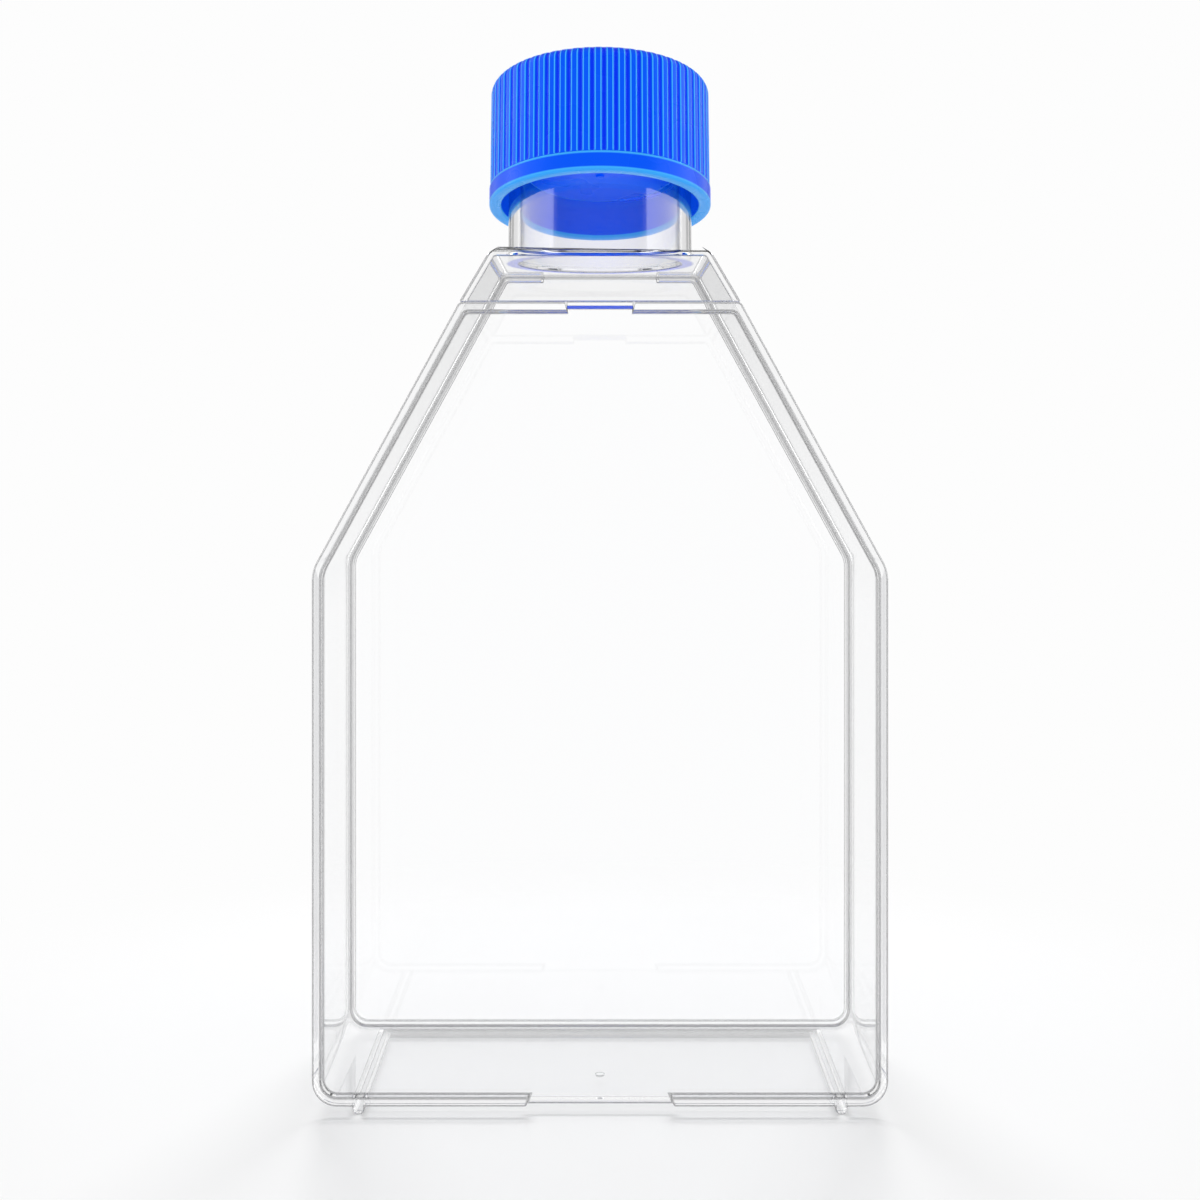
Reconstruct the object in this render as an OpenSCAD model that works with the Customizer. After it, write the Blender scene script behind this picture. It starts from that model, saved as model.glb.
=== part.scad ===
// Cell culture flask: a clear rectangular bottle that stands on its base,
// with a flat growth plate in front, a canted neck and a ribbed screw cap.
// Frame: +Z up, +X across the flask, -Y out of the growth plate.
// The origin is on the ground, in the middle of the flask's box. Millimetres.

/* [Body] */
// Overall width across the side walls
body_w = 80; // [64:1:100]
// Overall depth from the foot rim to the stacking rim
body_d = 38; // [36:1:48]
// Height of the straight sides, where the shoulders begin
side_h = 74.4; // [56:0.1:95]
// Height of the sloping shoulders, up to the top wall
shoulder_h = 44.7; // [36:0.1:55]
// Side wall thickness
side_t = 0.8; // [0.6:0.1:1.6]
// Base wall thickness
base_t = 0.8; // [0.6:0.1:1.6]
// Top wall thickness
top_t = 0.7; // [0.6:0.1:1.6]
// Rear panel thickness
rear_t = 0.9; // [0.6:0.1:1.6]
// Width of the rims round the front and the rear
rim_w = 1.35; // [1:0.05:2.4]
// Height of the stacking rim behind the rear panel
stack_rim_h = 1.8; // [0.4:0.1:3]
// Half the width of the gap in the stacking rim, at the top
stack_gap = 8.9; // [4:0.1:12]
// Outer corner radius at the base
base_r = 3.5; // [2.5:0.1:6]
// Outer corner radius where the shoulders begin
shoulder_r = 5.5; // [3:0.1:10]
// Outer corner radius beside the neck
crown_r = 1.5; // [0.5:0.1:2.5]

/* [Growth plate] */
// Height of the ramp above the growth plate's upper edge
ramp_h = 7.4; // [6:0.1:9]
// How far the ramp leans back at the top wall
ramp_d = 2.6; // [2:0.1:3]
// Growth plate thickness
plate_t = 1.2; // [0.9:0.1:1.6]
// Height of the foot rim in front of the growth plate
foot_h = 1.4; // [0.8:0.1:2]
// Width of the foot rim's upper bar
bar_w = 1.4; // [1:0.1:2.5]
// Radius of the growth plate's upper corners
plate_r = 1; // [0.5:0.1:2]
// Half the width of the gap in the foot rim, at the base
foot_gap = 10; // [5:0.5:20]
// Half the width of the gap in the foot rim's upper bar
bar_gap = 4.6; // [2:0.1:10]

/* [Standing runners] */
// Distance from the side wall's face to the middle of each side runner
runner_in = 6.5; // [4:0.1:14]
// Runner width
runner_w = 1.6; // [1:0.1:2.5]
// Runner height below the base wall
runner_h = 1; // [0.6:0.1:2]
// Distance from the rear face to the cross runner's rear side
runner_back = 3.5; // [2:0.1:6]
// Diameter of the moulding gate's mark under the base
gate_d = 1.3; // [0.8:0.1:2]
// Height of the gate's mark below the base wall
gate_h = 0.3; // [0.1:0.1:0.5]
// Distance from the foot rim's face back to the gate's mark
gate_back = 13; // [8:0.5:20]

/* [Neck] */
// Angle that the neck leans back from vertical
neck_tilt = 11.7; // [8:0.1:14]
// Ledge on the top wall between the ramp and the neck
neck_ledge = 0.3; // [0.2:0.1:3]
// Ledge on the top wall either side of the neck
side_ledge = 1.95; // [0.8:0.05:4]
// Neck outer diameter
neck_od = 27.1; // [22:0.1:28]
// Neck wall thickness
neck_t = 1.65; // [1.2:0.05:2]
// Length of neck that shows under the cap
neck_show = 8.1; // [7:0.1:12]

/* [Cap] */
// Clearance between the neck and the cap's skirt, room for the thread
thread_room = 1.05; // [0.8:0.05:1.4]
// Skirt wall thickness, measured at the band
skirt_t = 1.8; // [1.5:0.05:2.4]
// Cap height
cap_h = 19; // [16:0.1:22]
// Height of the plain band
band_h = 2.9; // [2:0.1:4]
// How far the ribbed part stands back from the band
band_step = 0.12; // [0.05:0.01:0.3]
// Thickness of the cap's ceiling
ceiling_t = 1.6; // [1.2:0.1:2.4]
// Number of grip grooves
groove_n = 60; // [24:2:72]
// Radius of each grip groove
groove_r = 0.45; // [0.3:0.05:0.6]
// Radius of the cap's upper edge
cap_edge_r = 1.6; // [0.8:0.1:2]
// Clearance between the plug and the neck's bore
plug_clear = 0.3; // [0.2:0.05:0.5]
// How far the plug reaches down from the cap's ceiling
plug_len = 12.5; // [6:0.1:14]
// Plug wall thickness
plug_t = 1.1; // [0.8:0.1:1.6]
// Clearance between the neck's mouth and the cap's ceiling
mouth_clear = 0.1; // [0.05:0.05:0.3]

/* [Hidden] */
$fn = 96;
arc_steps = 8;
over = 1;
chamfer = 0.4;

body_h = side_h + shoulder_h;
plate_h = body_h - ramp_h;
neck_r = neck_od / 2;
top_half = neck_r + side_ledge;
slope = (body_w / 2 - top_half) / shoulder_h;
lean = sqrt(1 + slope * slope);
front = -body_d / 2;
rear = body_d / 2;
seam = front + foot_h + plate_t;
cavity_back = rear - stack_rim_h - rear_t;
ramp_slope = ramp_d / ramp_h;
ramp_lean = sqrt(1 + ramp_slope * ramp_slope);
runner_x = body_w / 2 - runner_in;
runner_rear = rear - runner_back;
neck_y = front + ramp_d + neck_ledge + neck_r / cos(neck_tilt);
bore_r = neck_r - neck_t;
channel_r = neck_r + thread_room;
cap_r = channel_r + skirt_t;
plug_r = bore_r - plug_clear;
neck_len = neck_show + cap_h - ceiling_t - mouth_clear;
inner_crown_r = crown_r / 2;

// Half-width of the outline at height z, set in by t from the outer surface
function half_w(z, t) =
    min(body_w / 2 - t, body_w / 2 - t * lean - (z - side_h) * slope);

// Height at which the shoulder starts on an outline set in by t
function shoulder_z(t) = side_h - t * (lean - 1) / slope;

// Points of an arc of radius r that rounds the corner b between a and c
function rounded(a, b, c, r) =
    let (u = (a - b) / norm(a - b), v = (c - b) / norm(c - b))
    let (half = acos(u * v) / 2, mid = (u + v) / norm(u + v))
    let (centre = b + mid * r / sin(half))
    let (from = b + u * r / tan(half), to = b + v * r / tan(half))
    let (p = (from - centre) / r, q = (to - centre) / r, sweep = acos(p * q))
    [for (i = [0 : arc_steps])
        let (k = i / arc_steps)
        centre + r * (p * sin((1 - k) * sweep) + q * sin(k * sweep)) / sin(sweep)];

// A polygon with every corner rounded to its own radius
function round_all(pts, radii) =
    let (n = len(pts))
    [for (i = [0 : n - 1])
        each rounded(pts[(i + n - 1) % n], pts[i], pts[(i + 1) % n], radii[i])];

// Front view outline, set in by t at the sides, from height low to height high
module outline(t, low, high, top_radius) {
    side = body_w / 2 - t;
    bend = shoulder_z(t);
    top = half_w(high, t);
    pts = [[side, low], [side, bend], [top, high], [-top, high], [-side, bend], [-side, low]];
    radii = [base_r - t, shoulder_r - t, top_radius, top_radius, shoulder_r - t, base_r - t];
    polygon(round_all(pts, radii));
}

// Stands a front view up, from depth y0 to depth y1
module stand(y0, y1) {
    translate([0, y1, 0]) rotate([90, 0, 0]) linear_extrude(height = y1 - y0) children();
}

// Runs a side view across the flask
module across(width) {
    rotate([90, 0, 90]) linear_extrude(height = width, center = true) children();
}

// Lifts the moulding onto its runners
module raised() {
    translate([0, 0, runner_h]) children();
}

// Puts what is drawn along +Z onto the canted neck, with z = 0 at the top wall
module on_neck() {
    translate([0, neck_y, runner_h + body_h]) rotate([-neck_tilt, 0, 0]) children();
}

// Side view of the outside: upright front, leaning ramp, flat top and rear
module side_outer() {
    polygon([[front, 0], [front, plate_h], [front + ramp_d, body_h], [rear, body_h], [rear, 0]]);
}

// Side view of the cavity, one ramp wall inside the outer ramp
module side_cavity() {
    lip_y = front + side_t * ramp_lean;
    top_z = body_h - top_t;
    ramp_y = lip_y + (top_z - plate_h) * ramp_slope;
    polygon([[lip_y, base_t], [lip_y, plate_h], [ramp_y, top_z], [cavity_back, top_z], [cavity_back, base_t]]);
}

// One straight runner's section: flat underneath, with eased corners
module runner_section() {
    half = runner_w / 2;
    ease = runner_w / 4;
    polygon([[-half, over], [-half, ease - runner_h], [ease - half, -runner_h],
             [half - ease, -runner_h], [half, ease - runner_h], [half, over]]);
}

// Both side runners, from depth y0 to depth y1
module side_runners(y0, y1) {
    for (side = [-1, 1])
        translate([side * runner_x, 0, 0]) stand(y0, y1) runner_section();
}

// The runner that joins the side runners near the rear face
module cross_runner() {
    intersection() {
        translate([0, runner_rear - runner_w / 2, 0])
            rotate([90, 0, 90]) linear_extrude(height = 2 * runner_x, center = true) runner_section();
        translate([-runner_x, front, -runner_h]) cube([2 * runner_x, body_d, runner_h + over]);
    }
}

// The mark that the moulding gate leaves under the base
module gate_mark() {
    translate([0, front + gate_back, -gate_h]) cylinder(d = gate_d, h = gate_h + base_t / 2);
}

module neck_tube() {
    difference() {
        on_neck() translate([0, 0, -neck_r]) cylinder(r = neck_r, h = neck_r + neck_len);
        translate([-body_w / 2, front, 0]) cube([body_w, body_d, runner_h + body_h - top_t / 2]);
    }
}

module neck_bore() {
    on_neck() translate([0, 0, -neck_r / 2]) cylinder(r = bore_r, h = neck_r + neck_len);
}

// Gap in the stacking rim above the rear panel
module stack_notch() {
    translate([-stack_gap, rear - stack_rim_h, body_h - rim_w])
        cube([2 * stack_gap, stack_rim_h + over, rim_w + over]);
}

module flask_body() color("white", 0.35) {
    difference() {
        union() {
            raised() difference() {
                union() {
                    intersection() {
                        stand(front, rear) outline(0, 0, body_h, crown_r);
                        across(body_w) side_outer();
                    }
                    side_runners(seam, runner_rear);
                    cross_runner();
                    gate_mark();
                }
                translate([-body_w / 2, front - over, -runner_h - over])
                    cube([body_w, seam - front + over, runner_h + plate_h + over]);
                intersection() {
                    stand(front, cavity_back) outline(side_t, base_t, body_h - top_t, inner_crown_r);
                    across(body_w) side_cavity();
                }
                stand(rear - stack_rim_h, rear + over) outline(rim_w, rim_w, body_h - rim_w, inner_crown_r);
                stack_notch();
            }
            neck_tube();
        }
        neck_bore();
    }
}

module growth_plate() color("white", 0.35) raised() {
    difference() {
        union() {
            stand(front, seam) outline(0, 0, plate_h, plate_r);
            side_runners(front, seam);
        }
        stand(front - over, front + foot_h) outline(rim_w, rim_w, plate_h - bar_w, plate_r);
        translate([-foot_gap, front - over, -over]) cube([2 * foot_gap, over + foot_h, over + rim_w + over]);
        translate([-bar_gap, front - over, plate_h - bar_w - over])
            cube([2 * bar_gap, over + foot_h, bar_w + 2 * over]);
    }
}

// Half section of the cap: skirt, ceiling and a plug that is a cup, open at the top
module cap_section() {
    grip_r = cap_r - band_step;
    plug_z = cap_h - ceiling_t - plug_len;
    well_r = plug_r - plug_t;
    polygon([
        [0, plug_z], [plug_r - chamfer, plug_z], [plug_r, plug_z + chamfer],
        [plug_r, cap_h - ceiling_t], [channel_r, cap_h - ceiling_t],
        [channel_r, chamfer], [channel_r + chamfer, 0], [cap_r, 0], [cap_r, band_h],
        [grip_r, band_h],
        each [for (i = [0 : arc_steps])
            let (a = 90 * i / arc_steps)
            [grip_r - cap_edge_r * (1 - cos(a)), cap_h - cap_edge_r * (1 - sin(a))]],
        [well_r + chamfer, cap_h], [well_r, cap_h - chamfer], [well_r, plug_z + plug_t], [0, plug_z + plug_t]
    ]);
}

module screw_cap() color("blue") on_neck() translate([0, 0, neck_show]) {
    difference() {
        rotate_extrude() cap_section();
        for (i = [0 : groove_n - 1])
            rotate([0, 0, 360 * (i + 0.5) / groove_n])
                translate([cap_r - band_step + groove_r / 2, 0, band_h])
                    cylinder(r = groove_r, h = cap_h);
    }
}

flask_body();
growth_plate();
screw_cap();
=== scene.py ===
# %% [markdown]
# # A cell culture flask
# The flask is a clear moulded bottle in three pieces: a five-sided body with its neck,
# a flat growth plate welded to the front of it, and a ribbed blue screw cap.
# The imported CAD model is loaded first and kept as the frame: every piece below is made
# in its place and at its size, in metres, with +Z up and the growth plate facing -Y.

# %% Load the frame
import math

import bmesh
import bpy
from mathutils import Matrix, Vector


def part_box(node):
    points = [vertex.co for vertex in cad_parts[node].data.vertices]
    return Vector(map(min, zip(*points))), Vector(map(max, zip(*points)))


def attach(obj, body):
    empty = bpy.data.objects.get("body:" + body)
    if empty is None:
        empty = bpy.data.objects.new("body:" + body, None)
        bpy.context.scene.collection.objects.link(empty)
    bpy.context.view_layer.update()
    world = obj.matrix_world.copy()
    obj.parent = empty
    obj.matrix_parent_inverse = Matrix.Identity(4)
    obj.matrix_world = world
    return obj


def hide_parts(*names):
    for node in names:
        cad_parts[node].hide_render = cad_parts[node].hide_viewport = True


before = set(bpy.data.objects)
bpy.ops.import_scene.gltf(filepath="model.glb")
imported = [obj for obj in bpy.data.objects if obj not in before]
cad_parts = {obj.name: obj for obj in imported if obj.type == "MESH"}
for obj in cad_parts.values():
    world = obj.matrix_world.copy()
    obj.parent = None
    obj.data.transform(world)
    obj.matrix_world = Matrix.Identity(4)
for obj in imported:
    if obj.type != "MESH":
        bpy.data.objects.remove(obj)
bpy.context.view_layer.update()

MM = 0.001

# %% [markdown]
# ## Camera
# A flask is looked at from straight in front and a little above half its height.
# The camera stays level, so that upright walls stay upright, and the lens is shifted
# down instead of being tilted: that is what keeps both sides of the flask parallel.

# %% Set the camera
LENS, SENSOR_W, SHIFT = 56.7, 36.0, -0.1153
STAND_BACK, EYE_H = 262.0, 90.5
scene = bpy.context.scene
front_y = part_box("growth_plate")[0].y
camera_data = bpy.data.cameras.new("studio camera")
camera_data.lens = LENS
camera_data.sensor_width = SENSOR_W
camera_data.shift_y = SHIFT
camera = bpy.data.objects.new("studio camera", camera_data)
camera.location = (0.0, front_y - STAND_BACK * MM, EYE_H * MM)
camera.rotation_euler = (math.radians(90), 0.0, 0.0)
scene.collection.objects.link(camera)
scene.camera = camera
print("camera stands", round(-camera.location.y, 3), "m in front of the middle")

# %% [markdown]
# ## Sizes
# The sizes are those of the moulding, in millimetres. The heights are measured from the
# underside of the base wall, which stands one runner height above the ground. Walls are
# thin and even, as in any moulding, and the rims at front and rear are wider than they are.
# Each gap in a rim is given as two half widths, one at its bottom and one at its top.

# %% Name the moulding's sizes
HALF_W, SIDE_H, SHOULDER_H, TOP_HALF = 40.0, 74.4, 44.7, 15.5
BODY_H = SIDE_H + SHOULDER_H
RAMP_H, RAMP_D = 7.4, 2.6
PLATE_H = BODY_H - RAMP_H
FRONT, REAR, SEAM = -19.0, 19.0, -16.4
SIDE_T, BASE_T, TOP_T, REAR_T = 0.8, 0.8, 0.7, 0.9
RIM_W, RIM_H, FOOT_H, BAR_W = 1.35, 1.8, 1.4, 1.4
CORNERS = (3.5, 5.5, 1.5)
RUNNER_X, RUNNER_W, RUNNER_H, RUNNER_REAR = 33.5, 1.6, 1.0, 15.5
NECK_TILT, NECK_R, BORE_R, NECK_SHOW, NECK_LEN = math.radians(11.7), 13.55, 11.9, 8.1, 25.4
NECK_LEDGE = 0.3
NECK_Y = FRONT + RAMP_D + NECK_LEDGE + NECK_R / math.cos(NECK_TILT)
GATE_BACK, GATE_R, GATE_LOW, GATE_TOP = 13.0, 0.65, -0.3, 0.8
REAR_GAP, BASE_GAP, BAR_GAP = (9.3, 8.5), (10.6, 9.4), (4.3, 5.2)
LEDGE_HALF, LEDGE_H, LEDGE_D = 4.6, 0.95, 0.65
SLOPE = (HALF_W - TOP_HALF) / SHOULDER_H
LEAN = math.hypot(1, SLOPE)
print("body", 2 * HALF_W, "x", REAR - FRONT, "x", BODY_H, "mm, shoulder slope", round(SLOPE, 3))

# %% [markdown]
# ## Building blocks
# A moulding with flat walls is made as a toolmaker thinks of it: front views are pushed
# through to a depth, and one block is cut from or joined to another. The small radii
# that every moulded edge has come afterwards, because they are what a clear part shows.

# %% Draw the flask's front view
def outline(inset, low, high, radii):
    """Front view of the flask set in by inset, from low to high, with its corners rounded."""
    side = HALF_W - inset
    bend = SIDE_H - inset * (LEAN - 1) / SLOPE
    top = min(side, HALF_W - inset * LEAN - (high - SIDE_H) * SLOPE)
    right = [(side, low), (side, bend), (top, high)]
    points = [Vector(p) for p in right] + [Vector((-x, z)) for x, z in reversed(right)]
    return round_corners(points, list(radii) + list(reversed(radii)))


def round_corners(points, radii, steps=8):
    """The closed polygon with an arc of steps parts at every corner."""
    made = []
    for i, b in enumerate(points):
        a, c, r = points[i - 1], points[(i + 1) % len(points)], radii[i]
        u, v = (a - b).normalized(), (c - b).normalized()
        half = u.angle(v) / 2
        centre = b + (u + v).normalized() * (r / math.sin(half))
        start, end = b + u * (r / math.tan(half)) - centre, b + v * (r / math.tan(half)) - centre
        sweep = start.angle(end)
        for k in range(steps + 1):
            t = k / steps
            swung = start * math.sin((1 - t) * sweep) + end * math.sin(t * sweep)
            made.append(centre + swung / math.sin(sweep))
    return made


print("front view of the body has", len(outline(0, 0, BODY_H, CORNERS)), "points")

# %% Push views into blocks
def prism(name, polygon, low, high, place):
    """A closed block: polygon pushed from low to high, each corner put in its place."""
    bm = bmesh.new()
    rings = [[bm.verts.new(Vector(place(p, d)) * MM) for p in polygon] for d in (low, high)]
    bm.faces.new(rings[0])
    bm.faces.new(reversed(rings[1]))
    for i in range(len(polygon)):
        j = (i + 1) % len(polygon)
        bm.faces.new([rings[0][j], rings[0][i], rings[1][i], rings[1][j]])
    bmesh.ops.recalc_face_normals(bm, faces=bm.faces)
    mesh = bpy.data.meshes.new(name)
    bm.to_mesh(mesh)
    bm.free()
    return linked(name, mesh)


def linked(name, mesh):
    made = bpy.data.objects.new(name, mesh)
    scene.collection.objects.link(made)
    return made


def stand(polygon, y0, y1, name="block"):
    """A front view (x, z) from depth y0 to depth y1, lifted onto the runners."""
    return prism(name, polygon, y0, y1, lambda p, y: (p[0], y, p[1] + RUNNER_H))


def across(polygon, x0, x1, name="block"):
    """A side view (y, z) from x0 to x1, lifted onto the runners."""
    return prism(name, polygon, x0, x1, lambda p, x: (x, p[0], p[1] + RUNNER_H))


print("front views go through in depth, side views go across")

# %% Join and cut blocks
def combine(base, tool, operation):
    """Joins, cuts or intersects base with tool, exactly, and drops tool."""
    modifier = base.modifiers.new("combine", "BOOLEAN")
    modifier.operation, modifier.solver, modifier.object = operation, "EXACT", tool
    base.data = evaluated(base)
    base.modifiers.clear()
    drop(tool)
    return base


def evaluated(obj):
    """A plain mesh of the object with its modifiers applied."""
    return bpy.data.meshes.new_from_object(obj.evaluated_get(bpy.context.evaluated_depsgraph_get()))


def drop(obj):
    bpy.data.objects.remove(obj, do_unlink=True)


def box_polygon(a0, b0, a1, b1):
    return [(a0, b0), (a1, b0), (a1, b1), (a0, b1)]


def gap_view(half_widths, low, high):
    """Front view of a gap in a rim, from its half widths at the bottom and at the top."""
    under, over = half_widths
    return [(-under, low), (under, low), (over, high), (-over, high)]


print("gaps in the rims, mm wide at the top:", [2 * gap[1] for gap in (REAR_GAP, BASE_GAP, BAR_GAP)])

# %% [markdown]
# ## Body
# The body is one moulding: a shell with five outer walls, a leaning ramp above the
# growth plate, a rear panel set inside a stacking rim, and runners to stand on. It is
# cut from blocks rather than drawn as faces, because a clear part shows both sides of
# every wall, and cutting keeps the inside and the outside in step.

# %% Cut the body's shell
AIR = 0.02
FAR = 5.0
WIDE = 50


def inner_corners(inset):
    return (CORNERS[0] - inset, CORNERS[1] - inset, CORNERS[2] / 2)


shell = stand(outline(0, 0, BODY_H, CORNERS), FRONT, REAR, "flask_body_shape")
side_view = [(FRONT, 0), (FRONT, PLATE_H), (FRONT + RAMP_D, BODY_H), (REAR, BODY_H), (REAR, 0)]
combine(shell, across(side_view, -WIDE, WIDE), "INTERSECT")
front_opening = box_polygon(-WIDE, -FAR, WIDE, PLATE_H + AIR)
combine(shell, stand(front_opening, FRONT - FAR, SEAM + AIR), "DIFFERENCE")
lip_y = FRONT + SIDE_T * math.hypot(1, RAMP_D / RAMP_H)
top_z = BODY_H - TOP_T
ramp_y = lip_y + (top_z - PLATE_H) * RAMP_D / RAMP_H
cavity_back = REAR - RIM_H - REAR_T
cavity = stand(outline(SIDE_T, BASE_T, top_z, inner_corners(SIDE_T)), FRONT, cavity_back)
cavity_view = [(lip_y, BASE_T), (lip_y, PLATE_H), (ramp_y, top_z),
               (cavity_back, top_z), (cavity_back, BASE_T)]
combine(cavity, across(cavity_view, -WIDE, WIDE), "INTERSECT")
combine(shell, cavity, "DIFFERENCE")
print("shell", len(shell.data.polygons), "faces, cavity reaches back to", round(cavity_back, 2), "mm")

# %% Sink the rear panel inside its stacking rim
rim_top = BODY_H - RIM_W
inside_rim = outline(RIM_W, RIM_W, rim_top, inner_corners(RIM_W))
for opening in (inside_rim, gap_view(REAR_GAP, rim_top - 1, BODY_H + 2)):
    combine(shell, stand(opening, REAR - RIM_H, REAR + FAR), "DIFFERENCE")
print("with the rim", len(shell.data.polygons), "faces")

# %% Add the runners and the gate's mark
def runner_section(centre):
    half, ease = RUNNER_W / 2, RUNNER_W / 4
    return [(centre - half, 0.5), (centre - half, ease - RUNNER_H), (centre + ease - half, -RUNNER_H),
            (centre + half - ease, -RUNNER_H), (centre + half, ease - RUNNER_H), (centre + half, 0.5)]


for side in (-1, 1):
    combine(shell, stand(runner_section(side * RUNNER_X), SEAM + AIR, RUNNER_REAR), "UNION")
combine(shell, across(runner_section(RUNNER_REAR - RUNNER_W / 2), -RUNNER_X, RUNNER_X), "UNION")
circle = [(math.cos(math.tau * k / 24), math.sin(math.tau * k / 24)) for k in range(24)]


def on_base(p, z):
    return GATE_R * p[0], FRONT + GATE_BACK + GATE_R * p[1], z + RUNNER_H


combine(shell, prism("gate", circle, GATE_LOW, GATE_TOP, on_base), "UNION")
print("with runners", len(shell.data.polygons), "faces")

# %% [markdown]
# ## Neck
# The neck leans back and carries one screw thread. The thread is a ridge that climbs
# round the neck, so the radius of the outer surface follows a rule: the distance up the
# neck, less the climb so far, says where in the thread's section a point lies.

# %% Shape the thread
TURN, THREAD_LOW, THREAD_H, THREAD_W = 4.2, 13.4, 0.45, 1.3
STARTS_OVER, ENDS_FROM, ENDS_AT = 0.12, 2.1, 2.25
FLANK_IN, FLANK_OUT = 0.3, 0.25
AROUND = 144
ROOT, FIRST_ROW, ROW_STEP, ROWS, LAST_ROW = -8.0, 0.3, 0.2, 72, 24.6
neck_foot = Matrix.Translation(Vector((0, NECK_Y, RUNNER_H + BODY_H)) * MM)
neck_frame = neck_foot @ Matrix.Rotation(-NECK_TILT, 4, "X")


def smooth(x, low, high):
    t = min(max((x - low) / (high - low), 0.0), 1.0)
    return t * t * (3 - 2 * t)


def thread_height(angle, z):
    """How far the thread stands out of the neck at this angle and height."""
    centre = THREAD_LOW + TURN * angle / math.tau
    best = 0.0
    for turn in range(4):
        along = abs(z - centre - turn * TURN)
        climbed = turn + angle / math.tau
        fade = smooth(climbed, 0.0, STARTS_OVER) * (1 - smooth(climbed, ENDS_FROM, ENDS_AT))
        flank = smooth(along, THREAD_W / 2 - FLANK_IN, THREAD_W / 2 + FLANK_OUT)
        best = max(best, THREAD_H * fade * (1 - flank))
    return best


print("thread stands out", round(thread_height(math.pi, THREAD_LOW + TURN * 1.5), 2), "mm at its second turn")

# %% Make the neck with its thread
def tube(name, stations, radius, around=AROUND):
    """A closed tube round the neck's axis: stations up the outside, then a flat lid at each end."""
    bm = bmesh.new()
    angles = [math.tau * k / around for k in range(around)]
    rings = []
    for z in stations:
        ring = [Vector((radius(a, z) * math.cos(a), radius(a, z) * math.sin(a), z)) for a in angles]
        rings.append([bm.verts.new(neck_frame @ (point * MM)) for point in ring])
    for low, high in zip(rings, rings[1:]):
        for k in range(around):
            j = (k + 1) % around
            bm.faces.new([low[k], low[j], high[j], high[k]])
    bm.faces.new(reversed(rings[0]))
    bm.faces.new(rings[-1])
    bmesh.ops.recalc_face_normals(bm, faces=bm.faces)
    mesh = bpy.data.meshes.new(name)
    bm.to_mesh(mesh)
    bm.free()
    return linked(name, mesh)


threaded_rows = [NECK_SHOW + FIRST_ROW + ROW_STEP * k for k in range(ROWS)]
stations = [ROOT, 0.0, *threaded_rows, LAST_ROW, NECK_LEN]
neck = tube("neck", stations, lambda a, z: NECK_R + thread_height(a, z))
middle_of_top = RUNNER_H + BODY_H - TOP_T / 2
above = prism("above", box_polygon(-30, FRONT, 30, 30), middle_of_top, 200, lambda p, z: (*p, z))
combine(neck, above, "INTERSECT")
combine(shell, neck, "UNION")
combine(shell, tube("bore", [-7.0, 40.0], lambda a, z: BORE_R), "DIFFERENCE")
print("with the neck", len(shell.data.polygons), "faces")

# %% [markdown]
# ## Growth plate
# The growth plate is the second moulding: a flat sheet with a low foot rim round its
# front. It is welded to the body's front edge, so only a hairline shows round the sides.

# %% Make the growth plate
plate = stand(outline(0, 0, PLATE_H, (CORNERS[0], CORNERS[1], 1.0)), FRONT, SEAM, "growth_plate_shape")
inside = (*inner_corners(RIM_W)[:2], 1.0)
bar_z = PLATE_H - BAR_W
for opening in (outline(RIM_W, RIM_W, bar_z, inside), gap_view(BASE_GAP, -1, RIM_W + 1),
                gap_view(BAR_GAP, bar_z - 1, PLATE_H + 1)):
    combine(plate, stand(opening, FRONT - FAR, FRONT + FOOT_H), "DIFFERENCE")
face = FRONT + FOOT_H
ledge = [(face + 0.2, PLATE_H - LEDGE_H), (face, PLATE_H - LEDGE_H), (face - LEDGE_D, PLATE_H - 0.05),
         (face - LEDGE_D, PLATE_H), (face + 0.2, PLATE_H)]
combine(plate, across(ledge, -LEDGE_HALF, LEDGE_HALF), "UNION")
for side in (-1, 1):
    combine(plate, stand(runner_section(side * RUNNER_X), FRONT, SEAM), "UNION")
print("plate", len(plate.data.polygons), "faces")

# %% [markdown]
# ## Moulded edges
# Moulded edges are seldom sharp. A bevel gives most of them a small radius, which bends
# the light and draws the dark and bright lines that a clear part is known by. A weight on
# each edge sets its own radius: wide on the rims, almost none along the weld, and none
# on the front crest, at the neck's root or on the thread. The new faces are marked with a
# "fillet" value, so that the plastic can be painted darker along them: a painted shade line
# on top of the lines that the bent light draws. The runners' upright faces are marked too,
# and nothing near the top wall is.

# %% Choose each edge's radius
WIDEST = 0.5
HAIR, WELD_EDGE, RUNNER_EDGE = 0.06, 0.04, 0.15
WALL_EDGE, RIM_EDGE, BACK_EDGE, MOUTH_EDGE = 0.25, 0.32, 0.4, 0.3
TOP_Z = RUNNER_H + BODY_H


def edge_radius(middle, neck_place):
    """The radius in mm of the edge whose middle is given in mm, and in the neck's own frame."""
    around_neck = math.hypot(neck_place.x, neck_place.y)
    in_gap = abs(middle.x) < 5.3 and middle.z > PLATE_H - 1.5 and middle.y < SEAM - 0.1
    on_gate = abs(middle.x) < 1.0 and middle.z < 3 and abs(middle.y) < 15
    if in_gap or on_gate:
        return HAIR
    if middle.z > TOP_Z + 0.3 and around_neck < NECK_R + 2:
        return MOUTH_EDGE if neck_place.z > NECK_LEN - 0.2 else 0.0
    if middle.z > TOP_Z - 0.1 and middle.y < FRONT + 3 and around_neck > NECK_R + 0.2:
        return 0.0
    if abs(middle.y - SEAM) < 0.1:
        return WELD_EDGE
    if middle.z < RUNNER_H - 0.1:
        return RUNNER_EDGE
    if abs(middle.y - cavity_back) < 0.05:
        return BACK_EDGE
    if middle.y < FRONT + FOOT_H - 0.2 or middle.y > REAR - RIM_H + 0.3:
        return RIM_EDGE
    return WALL_EDGE


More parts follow.
